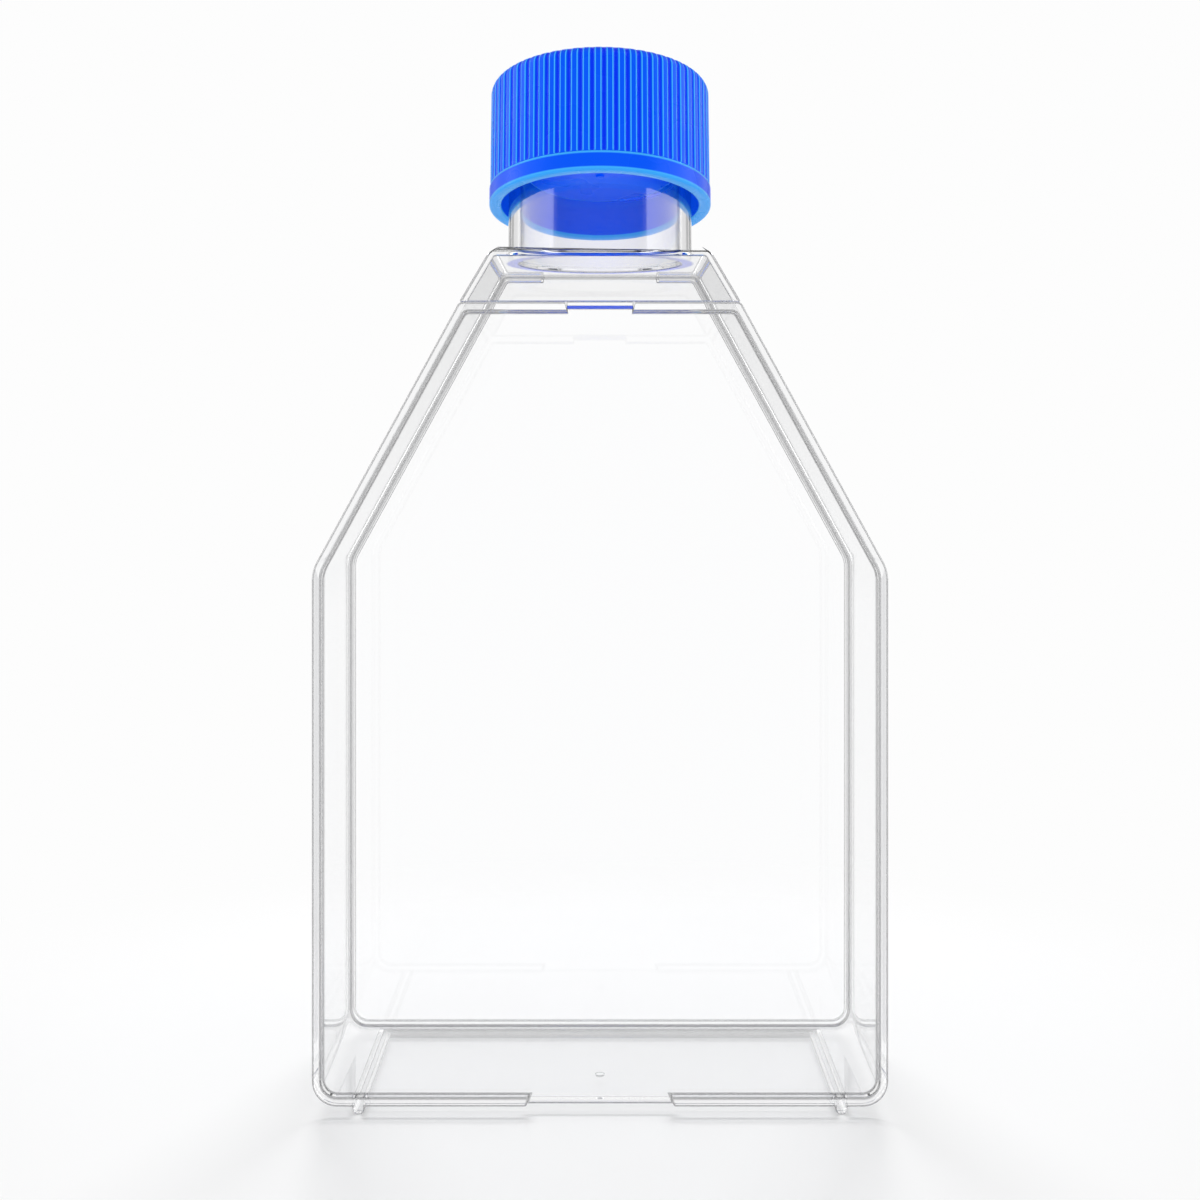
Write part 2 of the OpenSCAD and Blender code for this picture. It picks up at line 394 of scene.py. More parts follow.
print("edge radii, mm:", sorted({HAIR, WELD_EDGE, RUNNER_EDGE, WALL_EDGE, RIM_EDGE, BACK_EDGE, MOUTH_EDGE}))

# %% Round the edges of the clear pieces
def weigh_edges(obj, sharper_than=30, weld=0.002, flatter_than=0.5):
    """Clears what the cuts left behind and gives each sharp edge its radius as a weight."""
    bm = bmesh.new()
    bm.from_mesh(obj.data)
    bmesh.ops.remove_doubles(bm, verts=bm.verts, dist=weld * MM)
    bmesh.ops.dissolve_limit(bm, angle_limit=math.radians(flatter_than), verts=bm.verts, edges=bm.edges)
    bmesh.ops.recalc_face_normals(bm, faces=bm.faces)
    weight = bm.edges.layers.float.new("bevel_weight_edge")
    to_neck = neck_frame.inverted()
    rounded = 0
    for edge in bm.edges:
        if len(edge.link_faces) == 2 and edge.calc_face_angle() > math.radians(sharper_than):
            middle = (edge.verts[0].co + edge.verts[1].co) / 2
            edge[weight] = edge_radius(middle / MM, (to_neck @ middle) / MM) / WIDEST
            rounded += edge[weight] > 0
    bm.to_mesh(obj.data)
    bm.free()
    return rounded


def bevel_edges(obj, segments=4):
    """Rounds the weighted edges. The new faces take the second of two empty materials."""
    bevel = obj.modifiers.new("edge", "BEVEL")
    bevel.width, bevel.segments, bevel.limit_method = WIDEST * MM, segments, "WEIGHT"
    bevel.use_clamp_overlap = False
    for _ in range(2):
        obj.data.materials.append(None)
    bevel.material = 1
    obj.data = evaluated(obj)
    obj.modifiers.clear()


def mark_fillets(obj):
    """Turns the second material into a "fillet" value on each face, and drops both materials."""
    faces = obj.data.polygons
    fillet = obj.data.attributes.new("fillet", "FLOAT", "FACE")
    fillet.data.foreach_set("value", [float(face.material_index) for face in faces])
    count = sum(face.material_index for face in faces)
    for face in faces:
        if 0.02 < face.center.z / MM < RUNNER_H and abs(face.normal.z) < 0.95:
            fillet.data[face.index].value = 1.0
        if face.center.z / MM > TOP_Z - 0.5:
            fillet.data[face.index].value = 0.0
    faces.foreach_set("material_index", [0] * len(faces))
    obj.data.materials.clear()
    return count


def smooth_shading(obj, sharp=60):
    """Shades smooth, with flat walls kept flat up to their radii."""
    obj.data.shade_smooth()
    obj.data.set_sharp_from_angle(angle=math.radians(sharp))
    normals = obj.modifiers.new("normals", "WEIGHTED_NORMAL")
    normals.keep_sharp, normals.weight = True, 100
    obj.data = evaluated(obj)
    obj.modifiers.clear()


for piece in (shell, plate):
    rounded = weigh_edges(piece)
    bevel_edges(piece)
    marked = mark_fillets(piece)
    smooth_shading(piece)
    print(piece.name, rounded, "edges rounded,", marked, "fillet faces of", len(piece.data.polygons))

# %% [markdown]
# ## Wiring
# The plastics, the floor and the studio are wired from the same few kinds of node, so
# each kind has one short function: a sum, a smooth step, a mixed colour, a mixed shader.

# %% Wire numbers
def feed(tree, socket, value):
    """Links an output to the socket, or sets a number or a colour on it."""
    if isinstance(value, bpy.types.NodeSocket):
        tree.links.new(value, socket)
    else:
        socket.default_value = value


def maths(tree, operation, *values):
    node = tree.nodes.new("ShaderNodeMath")
    node.operation = operation
    for socket, value in zip(node.inputs, values):
        feed(tree, socket, value)
    return node.outputs[0]


def step_up(tree, value, low, high):
    """Climbs smoothly from 0 at low to 1 at high."""
    node = tree.nodes.new("ShaderNodeMapRange")
    node.interpolation_type = "SMOOTHSTEP"
    feed(tree, node.inputs["Value"], value)
    node.inputs["From Min"].default_value, node.inputs["From Max"].default_value = low, high
    return node.outputs["Result"]


def blend(tree, factor, a, b):
    """a where factor is 0, b where it is 1."""
    rest = maths(tree, "SUBTRACT", 1.0, factor)
    return maths(tree, "ADD", maths(tree, "MULTIPLY", factor, b), maths(tree, "MULTIPLY", rest, a))


print("numbers can be summed, stepped and blended")

# %% Wire colours, shaders and materials
def mixed_colour(tree, factor, first, second):
    """The first colour where factor is 0, the second where it is 1."""
    node = tree.nodes.new("ShaderNodeMix")
    node.data_type = "RGBA"
    for place, value in ((0, factor), (6, first), (7, second)):
        feed(tree, node.inputs[place], value)
    return node.outputs[2]


def mixed_shader(tree, factor, first, second):
    node = tree.nodes.new("ShaderNodeMixShader")
    for socket, value in zip(node.inputs, (factor, first, second)):
        feed(tree, socket, value)
    return node.outputs[0]


def see_through(tree, colour):
    node = tree.nodes.new("ShaderNodeBsdfTransparent")
    feed(tree, node.inputs["Color"], colour)
    return node.outputs[0]


def face_value(tree, name):
    """The value that the mesh carries under this name."""
    node = tree.nodes.new("ShaderNodeAttribute")
    node.attribute_name = name
    return node.outputs["Fac"]


def split_coordinates(tree, kind):
    """The three parts of one kind of texture coordinate."""
    split = tree.nodes.new("ShaderNodeSeparateXYZ")
    tree.links.new(tree.nodes.new("ShaderNodeTexCoord").outputs[kind], split.inputs[0])
    return split.outputs


def new_material(name):
    material = bpy.data.materials.new(name)
    material.use_nodes = True
    return material, material.node_tree, material.node_tree.nodes["Principled BSDF"]


def cover(tree, shader):
    feed(tree, tree.nodes["Material Output"].inputs["Surface"], shader)


print("colours and shaders can be mixed")

# %% [markdown]
# ## Moulded surface
# Both plastics come out of steel moulds, and both keep a trace of it: a slow ripple where
# the melt ran, and a little unevenness in the shine. It is one effect on two materials,
# so it is a node group, placed in each with its own size and strength.

# %% Build the moulded surface group
def moulded_surface():
    group = bpy.data.node_groups.new("moulded surface", "ShaderNodeTree")
    for name, default in (("Ripple Size", 60.0), ("Grain Size", 900.0), ("Grain", 0.1),
                          ("Low Shine", 0.2), ("High Shine", 0.3)):
        socket = group.interface.new_socket(name=name, in_out="INPUT", socket_type="NodeSocketFloat")
        socket.default_value = default
    group.interface.new_socket(name="Height", in_out="OUTPUT", socket_type="NodeSocketFloat")
    group.interface.new_socket(name="Roughness", in_out="OUTPUT", socket_type="NodeSocketFloat")
    nodes, links = group.nodes, group.links
    given, result = nodes.new("NodeGroupInput"), nodes.new("NodeGroupOutput")
    coords = nodes.new("ShaderNodeTexCoord")
    made = {}
    for name in ("Ripple Size", "Grain Size"):
        noise = nodes.new("ShaderNodeTexNoise")
        noise.inputs["Detail"].default_value = 1.0
        links.new(coords.outputs["Object"], noise.inputs["Vector"])
        links.new(given.outputs[name], noise.inputs["Scale"])
        made[name] = noise.outputs["Fac"]
    height = maths(group, "MULTIPLY_ADD", made["Grain Size"], given.outputs["Grain"], made["Ripple Size"])
    links.new(height, result.inputs["Height"])
    shine = nodes.new("ShaderNodeMapRange")
    links.new(made["Ripple Size"], shine.inputs["Value"])
    shine.inputs["From Min"].default_value, shine.inputs["From Max"].default_value = 0.3, 0.7
    links.new(given.outputs["Low Shine"], shine.inputs["To Min"])
    links.new(given.outputs["High Shine"], shine.inputs["To Max"])
    links.new(shine.outputs["Result"], result.inputs["Roughness"])
    return group


surface_group = moulded_surface()


def add_surface(material, shader, bump_distance, **values):
    """Puts the group in a material, feeding the shader's roughness and its normal."""
    nodes, links = material.node_tree.nodes, material.node_tree.links
    surface = nodes.new("ShaderNodeGroup")
    surface.node_tree = surface_group
    for name, value in values.items():
        surface.inputs[name.replace("_", " ")].default_value = value
    bump = nodes.new("ShaderNodeBump")
    bump.inputs["Strength"].default_value = 1.0
    bump.inputs["Distance"].default_value = bump_distance
    links.new(surface.outputs["Height"], bump.inputs["Height"])
    links.new(bump.outputs["Normal"], shader.inputs["Normal"])
    links.new(surface.outputs["Roughness"], shader.inputs["Roughness"])


print("surface group has", len(surface_group.nodes), "nodes")

# %% [markdown]
# ## Clear plastic
# Polystyrene is water clear and bends light more than glass does. Lamp light is let
# through without bending, so that the flask throws the pale shadow of a clear thing;
# walls seen edge on and the marked radii hold more of it back, which outlines the shadow.
# The radii are painted darker in colour too, as painted shade lines, and the sloping
# shoulders are painted grey where they are seen edge on, more towards the top, as painted
# shade. Light that has been trapped inside the walls for many bounces is let straight on,
# slightly dimmed, because cutting it off would leave black bands.

# %% Choose the clear plastic's colour and its painted shade
# The first colour is the plastic's own. The second is painted shade on the upper shoulders, and the next two
# are painted shade lines along the radii, darkest where seen edge on.
CLEAR, SLOPE_SHADE = (0.997, 0.998, 1.0, 1), (0.08, 0.08, 0.085, 1)
RADIUS_SHADE, RADIUS_SHADE_EDGE_ON = (0.36, 0.36, 0.365, 1), (0.02, 0.02, 0.02, 1)
SLOPE_SHADE_FROM, SLOPE_SHADE_TO, LEAST_SLOPE_SHADE = 0.068, 0.115, 0.12


def plastic_colour(tree, edge_on, fillet, sideways):
    """Clear in the walls, with painted shade on the upper slopes and painted shade lines along the moulded
    radii.
    """
    height = tree.nodes.new("ShaderNodeMapRange")
    feed(tree, height.inputs["Value"], split_coordinates(tree, "Object")["Z"])
    height.inputs["From Min"].default_value, height.inputs["From Max"].default_value = SLOPE_SHADE_FROM, SLOPE_SHADE_TO
    height.inputs["To Min"].default_value = LEAST_SLOPE_SHADE
    # Painted shade: greyer where the shoulders are seen edge on, turned sideways and high up.
    slope_shade = maths(tree, "MULTIPLY", edge_on, maths(tree, "MULTIPLY", sideways, height.outputs["Result"]))
    # Painted shade line along the radii, darker when they are seen edge on.
    radius_shade = mixed_colour(tree, edge_on, RADIUS_SHADE, RADIUS_SHADE_EDGE_ON)
    return mixed_colour(tree, fillet, mixed_colour(tree, slope_shade, CLEAR, SLOPE_SHADE), radius_shade)


print("haze grows from", SLOPE_SHADE_FROM, "to", SLOPE_SHADE_TO, "m up")

# %% Say which light goes straight on
SHADE, SHADE_EDGE_ON = (0.985, 0.987, 0.99, 1), (0.10, 0.10, 0.11, 1)
LET_ON, LET_ON_SIDEWAYS = (0.98, 0.98, 0.98, 1), (0.90, 0.90, 0.905, 1)
MOST_MIRRORINGS, MOST_CROSSINGS = 2.5, 9.5


def for_lamp_light(tree, path):
    """1 for the rays that only ask how much lamp light or diffuse light comes through."""
    return maths(tree, "MAXIMUM", path["Is Shadow Ray"], path["Is Diffuse Ray"])


def lamp_colour(tree, path, edge_on, fillet):
    """What colour lamp light keeps on its way through a wall."""
    held_back = maths(tree, "MAXIMUM", maths(tree, "POWER", edge_on, 2.0), fillet)
    share = maths(tree, "MULTIPLY", held_back, path["Is Shadow Ray"])
    return mixed_colour(tree, share, SHADE, SHADE_EDGE_ON)


def is_trapped(tree, path):
    """1 for light that has been mirrored, or has met walls, too often to follow further."""
    mirrored_often = maths(tree, "GREATER_THAN", path["Glossy Depth"], MOST_MIRRORINGS)
    crossed_often = maths(tree, "GREATER_THAN", path["Ray Depth"], MOST_CROSSINGS)
    return maths(tree, "MAXIMUM", mirrored_often, crossed_often)


print("light is let on after", int(MOST_MIRRORINGS), "mirrorings or", int(MOST_CROSSINGS), "walls")

# %% Make the clear plastic
def clear_plastic():
    material, tree, shader = new_material("clear polystyrene")
    weight = tree.nodes.new("ShaderNodeLayerWeight")
    weight.inputs["Blend"].default_value = 0.35
    edge_on, fillet = weight.outputs["Facing"], face_value(tree, "fillet")
    sideways = maths(tree, "ABSOLUTE", split_coordinates(tree, "Normal")["X"])
    feed(tree, shader.inputs["Base Color"], plastic_colour(tree, edge_on, fillet, sideways))
    shader.inputs["IOR"].default_value = 1.59
    shader.inputs["Transmission Weight"].default_value = 1.0
    add_surface(material, shader, 0.0000004, Ripple_Size=55.0, Grain_Size=400.0, Grain=0.02,
                Low_Shine=0.0, High_Shine=0.012)
    path = tree.nodes.new("ShaderNodeLightPath").outputs
    onward = see_through(tree, mixed_colour(tree, sideways, LET_ON, LET_ON_SIDEWAYS))
    inner = mixed_shader(tree, is_trapped(tree, path), shader.outputs[0], onward)
    through = see_through(tree, lamp_colour(tree, path, edge_on, fillet))
    cover(tree, mixed_shader(tree, for_lamp_light(tree, path), inner, through))
    return material


clear = clear_plastic()
for piece, node in ((shell, "flask_body"), (plate, "growth_plate")):
    piece.data.materials.clear()
    piece.data.materials.append(clear)
    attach(piece, "flask")
    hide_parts(node)
print("clear pieces:", shell.name, plate.name)

# %% [markdown]
# ## Blue plastic
# The cap is coloured polyethylene, softer in its shine than the clear body. The flats of
# its ribs catch the light and the grooves between them fall into shade, and that light and
# shade is painted into the colour: it follows a "rib" value that each point of the mesh
# carries, from painted shade in the grooves to painted highlights along the rib edges, the
# band's edges and the plug's end, and painted light on the lower ring.

# %% Make the blue plastic
# Painted light and shade by "rib" value: painted shade at 0, painted highlight near 0.81, plain blue from
# 0.96.
RIB_SHADE_TO_HIGHLIGHT = ((0.0, (0.0, 0.03, 0.92)), (0.5, (0.0, 0.11, 0.97)),
             (0.81, (0.06, 0.50, 1.0)), (0.96, (0.0, 0.095, 0.99)))


def blue_plastic():
    material, tree, shader = new_material("blue polyethylene")
    light_and_shade = tree.nodes.new("ShaderNodeValToRGB")
    stops = light_and_shade.color_ramp.elements
    for k, (position, colour) in enumerate(RIB_SHADE_TO_HIGHLIGHT):
        stop = stops[k] if k < 2 else stops.new(position)
        stop.position, stop.color = position, (*colour, 1)
    feed(tree, light_and_shade.inputs[0], face_value(tree, "rib"))
    feed(tree, shader.inputs["Base Color"], light_and_shade.outputs[0])
    shader.inputs["IOR"].default_value = 1.51
    shader.inputs["Specular IOR Level"].default_value = 0.22
    shader.inputs["Specular Tint"].default_value = (0.25, 0.6, 1, 1)
    add_surface(material, shader, 0.000003, Ripple_Size=160.0, Grain_Size=1500.0, Grain=0.12,
                Low_Shine=0.24, High_Shine=0.34)
    path = tree.nodes.new("ShaderNodeLightPath").outputs
    through = see_through(tree, (0.45, 0.82, 1, 1))
    cover(tree, mixed_shader(tree, for_lamp_light(tree, path), shader.outputs[0], through))
    return material


blue = blue_plastic()
print("blue plastic has", len(blue.node_tree.nodes), "nodes")

# %% [markdown]
# ## Cap
# Sixty ribs run up the cap and roll over its crown. Only one slice is drawn, six
# degrees wide, with half a groove on each side of its rib; Geometry Nodes turn it round
# the axis sixty times and weld the slices, so every rib is the same and the count is one
# number.

# %% Lay out the cap's half section
CAP_H, BAND_H, RIBS, RIB_TURN = 19.0, 2.9, 60, math.radians(-0.95)
CHANNEL_R, CAP_R, PLUG_R = 14.6, 16.4, 11.6
GRIP_R, WELL_R, PLUG_Z, CEILING, CROWN_R = CAP_R - 0.12, PLUG_R - 1.1, 4.9, 17.4, 1.6
GROOVE = 0.22
# degrees from the rib's middle, share of the groove's depth, painted light and shade (0 shade in the groove,
# about 0.8 painted highlight at the rib's edge, 1 plain)
HALF_RIB = [(0, 0.0, 1.0), (1.0, 0.0, 0.97), (1.30, 0.02, 0.82), (1.55, 0.10, 0.80),
            (1.85, 0.45, 0.45), (2.2, 0.78, 0.15), (2.6, 0.96, 0.0), (3, 1.0, 0.0)]
COLUMNS = [(-degrees, *rest) for degrees, *rest in reversed(HALF_RIB[1:])] + HALF_RIB
# Painted highlight on the band's edges and the plug's end, painted light on the lower ring.
EDGE_HIGHLIGHT, RING_LIGHT = 0.82, 0.72


def arc(centre, radius, start, end, parts):
    angles = [math.radians(start + (end - start) * k / parts) for k in range(parts + 1)]
    return [(centre[0] + radius * math.cos(a), centre[1] + radius * math.sin(a)) for a in angles]


def underside_light(r, z):
    """The lower ring and the plug's rounded end catch the light, which is painted on them: painted light on
    the ring, a painted highlight on the plug's end; the rest underneath is plain.
    """
    on_plug_end = PLUG_R - 0.4 < r < 12 and z < 5.3
    return RING_LIGHT if r > CHANNEL_R + 0.05 or on_plug_end else 1.0


def cap_stations():
    """Radius, height, groove depth (0 to 1) and painted light and shade away from the grooves, from the
    plug's middle to the well's.
    """
    under = [(0, 4.6), (0.5, 4.6), (0.62, 4.66), (0.66, PLUG_Z), (4, PLUG_Z), (9, PLUG_Z)]
    under += arc((PLUG_R - 0.5, PLUG_Z + 0.5), 0.5, -90, 0, 4)
    under += [(PLUG_R, CEILING - 0.3), (PLUG_R + 0.3, CEILING)]
    under += [(CHANNEL_R - 0.3, CEILING), (CHANNEL_R, CEILING - 0.3)]
    under += [(CHANNEL_R, 1.2), (CHANNEL_R, 0.45), (CHANNEL_R + 0.12, 0.12), (CHANNEL_R + 0.4, 0)]
    under += arc((CAP_R - 0.3, 0.3), 0.3, -90, 0, 4)
    made = [(r, z, 0.0, underside_light(r, z)) for r, z in under]
    # Painted highlights on the band's lower edge and along its rounded top edge.
    made += [(CAP_R, 0.42, 0.0, EDGE_HIGHLIGHT), (CAP_R, 0.7, 0.0, 1.0), (CAP_R, BAND_H - 0.5, 0.0, 1.0)]
    made += [(r, z, 0.0, EDGE_HIGHLIGHT) for r, z in arc((CAP_R - 0.2, BAND_H - 0.2), 0.2, 0, 75, 3)]
    made += [(GRIP_R, BAND_H + 0.02, 0.0, 1.0), (GRIP_R, BAND_H + 0.12, 0.8, 1.0)]
    made += [(GRIP_R, BAND_H + 0.4, 1.0, 1.0)]
    made += [(GRIP_R, z, 1.0, 1.0) for z in (6.0, 10.0, 14.0)]
    crown = arc((GRIP_R - CROWN_R, CAP_H - CROWN_R), CROWN_R, 0, 90, 10)
    made += [(r, z, 1.0 - smooth(k / 10, 0.55, 0.95), 1.0) for k, (r, z) in enumerate(crown)]
    well = [(13, CAP_H), (WELL_R + 0.5, CAP_H)] + arc((WELL_R + 0.5, CAP_H - 0.5), 0.5, 90, 180, 4)[1:]
    well += [(WELL_R, PLUG_Z + 1.6)] + arc((WELL_R - 0.5, PLUG_Z + 1.6), 0.5, 0, -90, 4)[1:]
    well += [(5, PLUG_Z + 1.1), (0, PLUG_Z + 1.1)]
    return made + [(r, z, 0.0, 1.0) for r, z in well]


print("half section has", len(cap_stations()), "stations, a slice has", len(COLUMNS), "columns")

# %% Draw one slice of the cap
def cap_slice():
    bm = bmesh.new()
    rib = bm.verts.layers.float.new("rib")
    rows = []
    for r, z, grooved, light_and_shade in cap_stations():
        row = []
        for degrees, depth, rib_light_and_shade in COLUMNS:
            if r == 0 and row:
                row.append(row[0])
                continue
            a, out = math.radians(degrees), r - GROOVE * depth * grooved
            vertex = bm.verts.new(Vector((out * math.cos(a), out * math.sin(a), z)) * MM)
            # The painted light and shade: the section's own value, turning to the rib's across the grooved
            # part.
            vertex[rib] = light_and_shade + (rib_light_and_shade - light_and_shade) * grooved
            row.append(vertex)
        rows.append(row)
    for low, high in zip(rows, rows[1:]):
        for k in range(len(COLUMNS) - 1):
            corners = list(dict.fromkeys((low[k], low[k + 1], high[k + 1], high[k])))
            bm.faces.new(corners)
    mesh = bpy.data.meshes.new("cap slice")
    bm.to_mesh(mesh)
    bm.free()
    return linked("cap_slice", mesh)


cap = cap_slice()
print("one slice has", len(cap.data.polygons), "faces")

# %% Set up Geometry Nodes
def node_tree(name, sockets):
    """An empty Geometry Nodes tree with named inputs, and one helper that adds a node."""
    tree = bpy.data.node_groups.new(name, "GeometryNodeTree")
    tree.interface.new_socket(name="Geometry", in_out="INPUT", socket_type="NodeSocketGeometry")
    for label, kind in sockets:
        tree.interface.new_socket(name=label, in_out="INPUT", socket_type=kind)
    tree.interface.new_socket(name="Geometry", in_out="OUTPUT", socket_type="NodeSocketGeometry")

    def add(kind, **wires):
        node = tree.nodes.new(kind if kind.startswith("Shader") else "GeometryNode" + kind)
        for label, source in wires.items():
            feed(tree, node.inputs[label.replace("_", " ")], source)
        return node

    return tree, add, tree.nodes.new("NodeGroupInput").outputs


def run_tree(obj, tree, values):
    """Runs a tree on obj with its inputs set by identifier, and keeps the plain mesh."""
    modifier = obj.modifiers.new(tree.name, "NODES")
    modifier.node_group = tree
    for item in tree.interface.items_tree:
        if item.in_out == "INPUT" and item.name in values:
            modifier[item.identifier] = values[item.name]
    obj.data = evaluated(obj)
    obj.modifiers.clear()
    return obj


print("a tree takes its numbers by name")

# %% Turn the slice round the cap
def rib_tree():
    tree, add, given = node_tree("ribs round a cap", (
        ("Rib Count", "NodeSocketInt"), ("Start Turn", "NodeSocketFloat"),
        ("Weld Distance", "NodeSocketFloat"), ("Finish", "NodeSocketMaterial")))
    points = add("Points", Count=given["Rib Count"])
    step = maths(tree, "DIVIDE", math.tau, given["Rib Count"])
    turn = maths(tree, "MULTIPLY_ADD", add("InputIndex").outputs[0], step, given["Start Turn"])
    spin = add("ShaderNodeCombineXYZ", Z=turn)
    placed = add("InstanceOnPoints", Points=points.outputs[0], Instance=given["Geometry"],
                 Rotation=spin.outputs[0])
    real = add("RealizeInstances", Geometry=placed.outputs[0])
    welded = add("MergeByDistance", Geometry=real.outputs[0], Distance=given["Weld Distance"])
    finished = add("SetMaterial", Geometry=welded.outputs[0], Material=given["Finish"])
    tree.links.new(finished.outputs[0], tree.nodes.new("NodeGroupOutput").inputs[0])
    return tree


run_tree(cap, rib_tree(), {"Rib Count": RIBS, "Start Turn": RIB_TURN - math.pi / 2,
                           "Weld Distance": 0.004 * MM, "Finish": blue})
print("cap has", len(cap.data.polygons), "faces")

# %% [markdown]
# ## Thread inside the cap
# A screw thread is a ridge along a spiral, so a spiral curve is given a small round
# section and tapered to nothing at both ends. It stands out less than the gap beside the
# neck's own thread, so the cap also lifts straight off without touching.

# %% Wind the thread inside the cap
def thread_tree():
    tree, add, given = node_tree("thread ridge", (
        ("Radius", "NodeSocketFloat"), ("Rise", "NodeSocketFloat"), ("Turns", "NodeSocketFloat"),
        ("Ridge", "NodeSocketFloat"), ("Finish", "NodeSocketMaterial")))
    spiral = add("CurveSpiral", Resolution=60, Rotations=given["Turns"], Start_Radius=given["Radius"],
                 End_Radius=given["Radius"], Height=given["Rise"])
    along = add("SplineParameter").outputs["Factor"]
    nearer_end = maths(tree, "MINIMUM", along, maths(tree, "SUBTRACT", 1.0, along))
    taper = add("ShaderNodeMapRange", Value=nearer_end)
    taper.inputs["From Max"].default_value = 0.07
    taper.inputs["To Min"].default_value = 0.02
    section = add("CurvePrimitiveCircle", Resolution=8, Radius=given["Ridge"])
    ridge = add("CurveToMesh", Curve=spiral.outputs[0], Profile_Curve=section.outputs[0],
                Scale=taper.outputs["Result"], Fill_Caps=True)
    real = add("RealizeInstances", Geometry=ridge.outputs[0])
    finished = add("SetMaterial", Geometry=real.outputs[0], Material=given["Finish"])
    tree.links.new(finished.outputs[0], tree.nodes.new("NodeGroupOutput").inputs[0])
    return tree


RIDGE_R, RIDGE_TURNS, RIDGE_START = 0.36, 2.0, 7.0
ridge = run_tree(linked("ridge", bpy.data.meshes.new("ridge")), thread_tree(), {
    "Radius": CHANNEL_R * MM, "Rise": TURN * RIDGE_TURNS * MM, "Turns": RIDGE_TURNS,
    "Ridge": RIDGE_R * MM, "Finish": blue})
ridge.data.transform(Matrix.Translation(Vector((0, 0, RIDGE_START)) * MM))
bm = bmesh.new()
bm.from_mesh(cap.data)
bmesh.ops.recalc_face_normals(bm, faces=bm.faces)
rib = bm.verts.layers.float["rib"]
before = len(bm.verts)
bm.from_mesh(ridge.data)
bm.verts.ensure_lookup_table()
for vertex in bm.verts[before:]:
    vertex[rib] = 1.0
print("open edges in the cap:", sum(len(edge.link_faces) != 2 for edge in bm.edges))
bm.to_mesh(cap.data)
bm.free()
drop(ridge)
cap.name = "screw_cap_shape"
cap.data.transform(neck_frame @ Matrix.Translation(Vector((0, 0, NECK_SHOW)) * MM))
cap.data.shade_smooth()
cap.data.set_sharp_from_angle(angle=math.radians(50))
cap.data.materials.clear()
cap.data.materials.append(blue)
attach(cap, "cap")
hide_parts("screw_cap")
print("cap with its thread:", len(cap.data.polygons), "faces")

# %% [markdown]
# ## Studio
# A clear part is lit from behind: a white background shows through it, and darker flags
# beside that background are what its edges pick up. So the world is divided by direction.
# There is a flag on each side, a dark overhead, a dark part above the front, and a bright
# box far round on each side for the highlights.

# %% Divide the studio by direction
WHITE = 0.982
world = bpy.data.worlds.new("studio")
world.use_nodes = True
scene.world = world
sky = world.node_tree
to_side, to_back, upward = split_coordinates(sky, "Generated")


def sine_at(degrees):
    return math.sin(math.radians(degrees))


def beyond(value, low, high):
    """Climbs from 0 to 1 between two angles in degrees, on a value that is a sine."""
    return step_up(sky, value, sine_at(low), sine_at(high))


def outside(part):
    return maths(sky, "SUBTRACT", 1.0, part)


def both(first, second):
    return maths(sky, "MULTIPLY", first, second)


aside = maths(sky, "ABSOLUTE", to_side)
squares = maths(sky, "ADD", maths(sky, "POWER", aside, 2.0), maths(sky, "POWER", to_back, 2.0))
level_run = maths(sky, "MAXIMUM", maths(sky, "SQRT", squares), 0.001)
turned = maths(sky, "DIVIDE", aside, level_run)
flag = both(beyond(turned, 19, 22), outside(beyond(turned, 28, 31)))
overhead = beyond(upward, 48, 58)
beside = beyond(turned, 62, 66)
box = both(beside, outside(beyond(upward, 52, 62)))
above_front = both(both(beyond(upward, 21, 26), step_up(sky, to_back, 0.05, -0.05)), outside(beside))
flags = maths(sky, "MAXIMUM", flag, above_front)
print("studio parts take", len(sky.nodes), "nodes")

# %% [markdown]
# ## What each ray finds
# The camera sees plain white. Mirrored rays find the flags nearly black, the overhead dim
# and slightly blue, and the side boxes brighter than white. Rays bent through the plastic
# find white and dark parts only, and the dark parts are lighter for rays that have also
# been mirrored. Bent rays count as mirrored ones too, so whether a ray was bent is asked
# after whether it was mirrored. All other light, which gives the cap and the floor their
# level, comes fully from the front and less from behind.

# %% Give each kind of ray its level
MIRRORED_WHITE, IN_FLAG, IN_OVERHEAD, BOX_EXTRA = 0.97, 0.07, 0.27, 2.3
BENT_DARK, BENT_AND_MIRRORED_DARK = 0.10, 0.32
FRONT_LEVEL, BACK_LEVEL = 1.0, 0.22
path = sky.nodes.new("ShaderNodeLightPath").outputs
plain = blend(sky, overhead, blend(sky, flags, MIRRORED_WHITE, IN_FLAG), IN_OVERHEAD)
mirrored = maths(sky, "MULTIPLY_ADD", box, BOX_EXTRA, plain)
was_mirrored = maths(sky, "MINIMUM", path["Glossy Depth"], 1.0)
dark = blend(sky, was_mirrored, BENT_DARK, BENT_AND_MIRRORED_DARK)
bent = blend(sky, maths(sky, "MAXIMUM", flags, overhead), WHITE, dark)
level = blend(sky, step_up(sky, to_back, -0.2, 0.3), FRONT_LEVEL, BACK_LEVEL)
level = blend(sky, path["Is Glossy Ray"], level, mirrored)
level = blend(sky, path["Is Transmission Ray"], level, bent)
level = blend(sky, path["Is Camera Ray"], level, WHITE)
cool = both(overhead, both(outside(path["Is Camera Ray"]), path["Is Glossy Ray"]))
background = sky.nodes["Background"].inputs
feed(sky, background["Strength"], level)
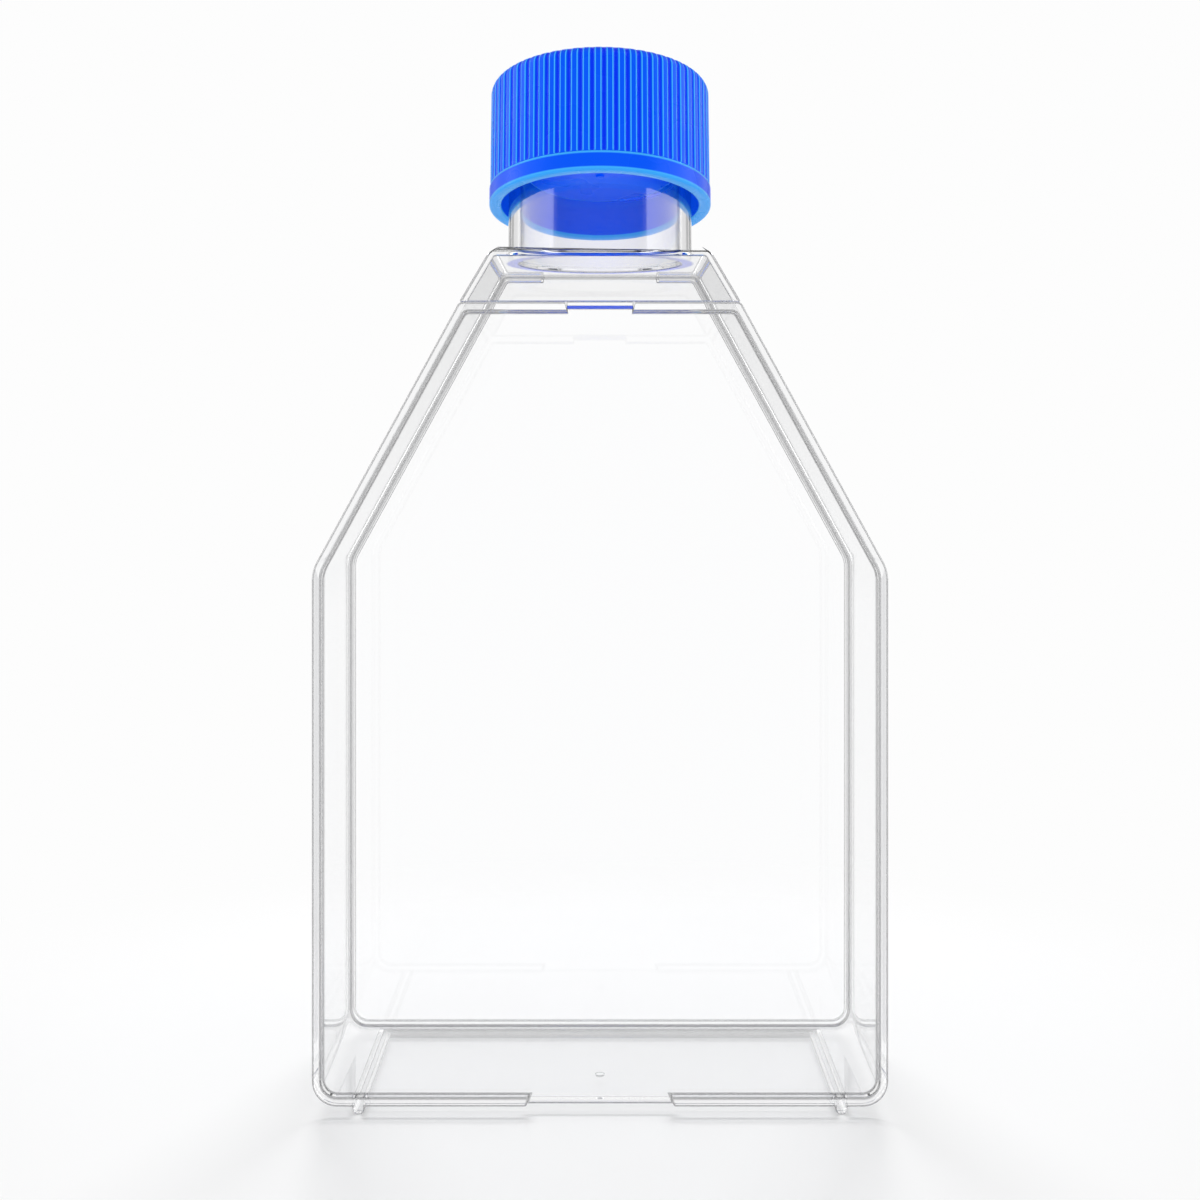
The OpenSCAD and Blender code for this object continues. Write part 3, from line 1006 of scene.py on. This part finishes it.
feed(sky, background["Color"], mixed_colour(sky, cool, (1, 1, 1, 1), (0.95, 1.0, 1.25, 1)))
print("world has", len(sky.nodes), "nodes")

# %% [markdown]
# ## Lamp and floor
# One wide lamp above and behind, about 32 degrees up, throws the flask's shadow forward.
# The floor is white paper near the flask, where it takes that shadow. It glows a little
# by itself, and fades into plain white further out, so that no horizon shows.

# %% Hang the lamp
lamp_data = bpy.data.lights.new("rear box", "AREA")
lamp_data.shape, lamp_data.size, lamp_data.size_y, lamp_data.energy = "RECTANGLE", 1.5, 0.4, 56.0
lamp = bpy.data.objects.new("rear box", lamp_data)
lamp.location = (0.0, 1.9, 1.2)
lamp.rotation_euler = (math.radians(-57), 0.0, 0.0)
lamp.visible_glossy = lamp.visible_transmission = False
scene.collection.objects.link(lamp)
print("lamp stands", lamp.location.y, "m behind the flask")

# %% Lay the floor
FLOOR, FADES_FROM, FADES_TO = 3.0, 0.06, 0.15


def white_paper():
    material, tree, sheet = new_material("white paper floor")
    sheet.inputs["Base Color"].default_value = (0.68, 0.68, 0.683, 1)
    sheet.inputs["Roughness"].default_value = 0.3
    sheet.inputs["Emission Color"].default_value = (1, 1, 1, 1)
    sheet.inputs["Emission Strength"].default_value = 0.15
    glow = tree.nodes.new("ShaderNodeEmission")
    glow.inputs["Strength"].default_value = WHITE
    distance = tree.nodes.new("ShaderNodeVectorMath")
    distance.operation = "LENGTH"
    feed(tree, distance.inputs[0], tree.nodes.new("ShaderNodeTexCoord").outputs["Object"])
    faded = step_up(tree, distance.outputs["Value"], FADES_FROM, FADES_TO)
    cover(tree, mixed_shader(tree, faded, sheet.outputs[0], glow.outputs[0]))
    return material


corners = [(x, y, 0) for x, y in box_polygon(-FLOOR, -FLOOR, FLOOR, FLOOR)]
floor_mesh = bpy.data.meshes.new("floor")
floor_mesh.from_pydata(corners, [], [(0, 1, 2, 3)])
floor = linked("floor", floor_mesh)
floor_mesh.materials.append(white_paper())
scene.view_settings.view_transform = "Standard"
print("floor", 2 * FLOOR, "m across")
